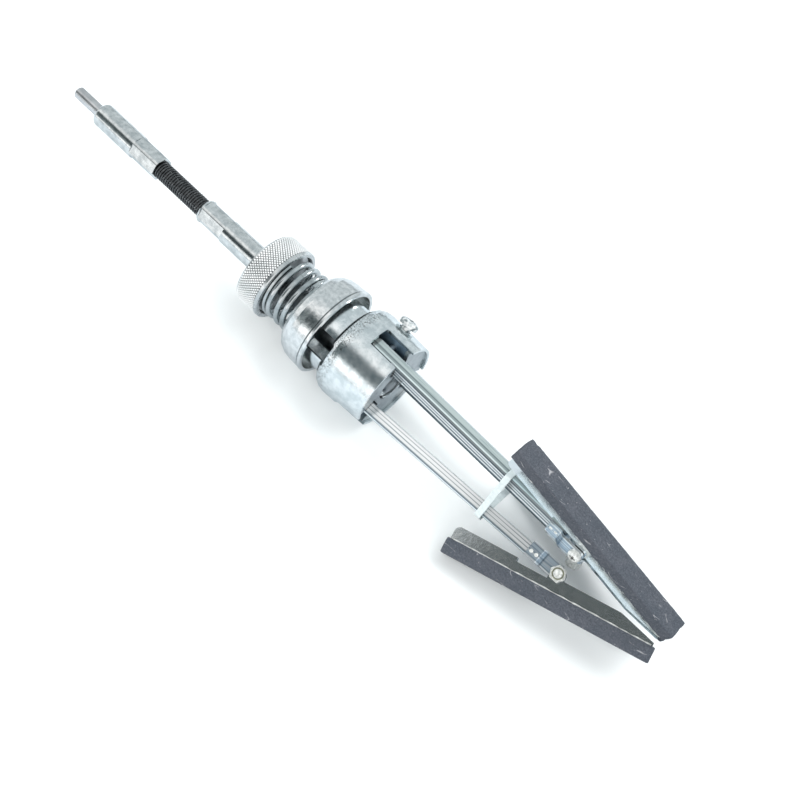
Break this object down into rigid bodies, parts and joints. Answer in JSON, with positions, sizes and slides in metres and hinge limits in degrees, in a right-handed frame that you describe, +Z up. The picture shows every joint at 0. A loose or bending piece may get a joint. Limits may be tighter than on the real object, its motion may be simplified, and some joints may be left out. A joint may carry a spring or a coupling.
{
  "type": "cylinder hone",
  "caption": "Three-legged engine cylinder hone with a flexible drive shaft, a knurled tension nut, a spring-loaded cup and long abrasive stones on swinging arms.",
  "frame": {"origin": "centre of the footprint on the floor, under the tool lying on its side", "axes": "+X from the drive shank to the stones, +Z up through the top leg, Y across"},
  "size_m": [0.3862, 0.0724, 0.0615],
  "materials": {
    "ground_steel": "satin",
    "zinc_plate": "satin bright zinc",
    "bright_plate": "bright zinc, slightly mottled",
    "dull_plate": "dull plating",
    "cast_core": "dull",
    "spring_steel": "satin",
    "black_wire": "black oxide",
    "abrasive": "matt, gritty",
    "white_elastic": "matt"
  },
  "bodies": {
    "body": {"lower_ferrule": "zinc_plate", "spindle": "ground_steel", "body_shell": "bright_plate", "body_core": "cast_core", "bottom_plate": "zinc_plate", "spindle_clip": "spring_steel", "lobe_screw": "zinc_plate", "hinge_pin_a": "ground_steel", "hinge_pin_b": "ground_steel", "hinge_pin_c": "ground_steel", "leg_band": "white_elastic", "flex_coil": "black_wire", "flex_core": "spring_steel"},
    "driver": {"drive_shank": "ground_steel", "upper_ferrule": "zinc_plate"},
    "adjuster": {"thrust_washer": "zinc_plate"},
    "nut": {"tension_nut": "zinc_plate"},
    "cup": {"pressure_cup": "bright_plate", "push_sleeve": "ground_steel", "tension_spring": "spring_steel"},
    "leg_a": {"arm_a": "zinc_plate", "arm_foot_a": "zinc_plate"},
    "stone_a": {"stone_holder_a": "dull_plate", "stone_a": "abrasive", "pivot_screw_a": "zinc_plate", "lock_nut_a": "zinc_plate"},
    "leg_b": {"arm_b": "zinc_plate", "arm_foot_b": "zinc_plate"},
    "stone_b": {"stone_holder_b": "dull_plate", "stone_b": "abrasive", "pivot_screw_b": "zinc_plate", "lock_nut_b": "zinc_plate"},
    "leg_c": {"arm_c": "zinc_plate", "arm_foot_c": "zinc_plate"},
    "stone_c": {"stone_holder_c": "dull_plate", "stone_c": "abrasive", "pivot_screw_c": "zinc_plate", "lock_nut_c": "zinc_plate"}
  },
  "joints": [
    {"name": "flex_bend", "type": "hinge", "parent": "body", "child": "driver", "pos_m": [-0.1149, 0, 0.0238], "axis": [0, 0, 1], "range_deg": [-30, 30], "stiffness_Nm_per_rad": 0.3, "deforming": ["flex_coil", "flex_core"]},
    {"name": "nut_travel", "type": "slide", "parent": "body", "child": "adjuster", "axis": [1, 0, 0], "range_m": [0, 0.0042], "deforming": ["tension_spring"]},
    {"name": "nut_turn", "type": "hinge", "parent": "adjuster", "child": "nut", "pos_m": [-0.0492, 0, 0.0238], "axis": [1, 0, 0], "range_deg": [0, 960]},
    {"name": "cup_slide", "type": "slide", "parent": "body", "child": "cup", "axis": [1, 0, 0], "range_m": [0, 0.00451], "deforming": ["tension_spring"]},
    {"name": "arm_a_swing", "type": "hinge", "parent": "body", "child": "leg_a", "pos_m": [0.0191, 0, 0.0388], "axis": [0, -1, 0], "range_deg": [0, 32], "deforming": ["leg_band"]},
    {"name": "stone_a_turn", "type": "hinge", "parent": "leg_a", "child": "stone_a", "pos_m": [0.14082, 0, 0.0344], "axis": [0, -1, 0], "range_deg": [-18.3, 0]},
    {"name": "arm_b_swing", "type": "hinge", "parent": "body", "child": "leg_b", "pos_m": [0.0191, -0.01299, 0.0163], "axis": [0, 0.5, -0.866], "range_deg": [0, 32.1], "deforming": ["leg_band"]},
    {"name": "stone_b_turn", "type": "hinge", "parent": "leg_b", "child": "stone_b", "pos_m": [0.14082, -0.00918, 0.0185], "axis": [0, 0.5, -0.866], "range_deg": [-16.75, 0]},
    {"name": "arm_c_swing", "type": "hinge", "parent": "body", "child": "leg_c", "pos_m": [0.0191, 0.01299, 0.0163], "axis": [0, 0.5, 0.866], "range_deg": [0, 32.1], "deforming": ["leg_band"]},
    {"name": "stone_c_turn", "type": "hinge", "parent": "leg_c", "child": "stone_c", "pos_m": [0.14082, 0.00918, 0.0185], "axis": [0, 0.5, 0.866], "range_deg": [-16.75, 0]}
  ],
  "couplings": [
    {"joint": "nut_travel", "follows": "nut_turn", "m_per_rad": 0.00023873},
    {"joint": "stone_a_turn", "follows": "arm_a_swing", "ratio": -0.5625},
    {"joint": "stone_b_turn", "follows": "arm_a_swing", "ratio": -0.51406},
    {"joint": "stone_c_turn", "follows": "arm_a_swing", "ratio": -0.51406},
    {"joint": "arm_b_swing", "follows": "arm_a_swing", "ratio": 1},
    {"joint": "arm_c_swing", "follows": "arm_a_swing", "ratio": 1},
    {"joint": "cup_slide", "follows": "arm_a_swing", "m_per_rad": 0.0078961}
  ]
}
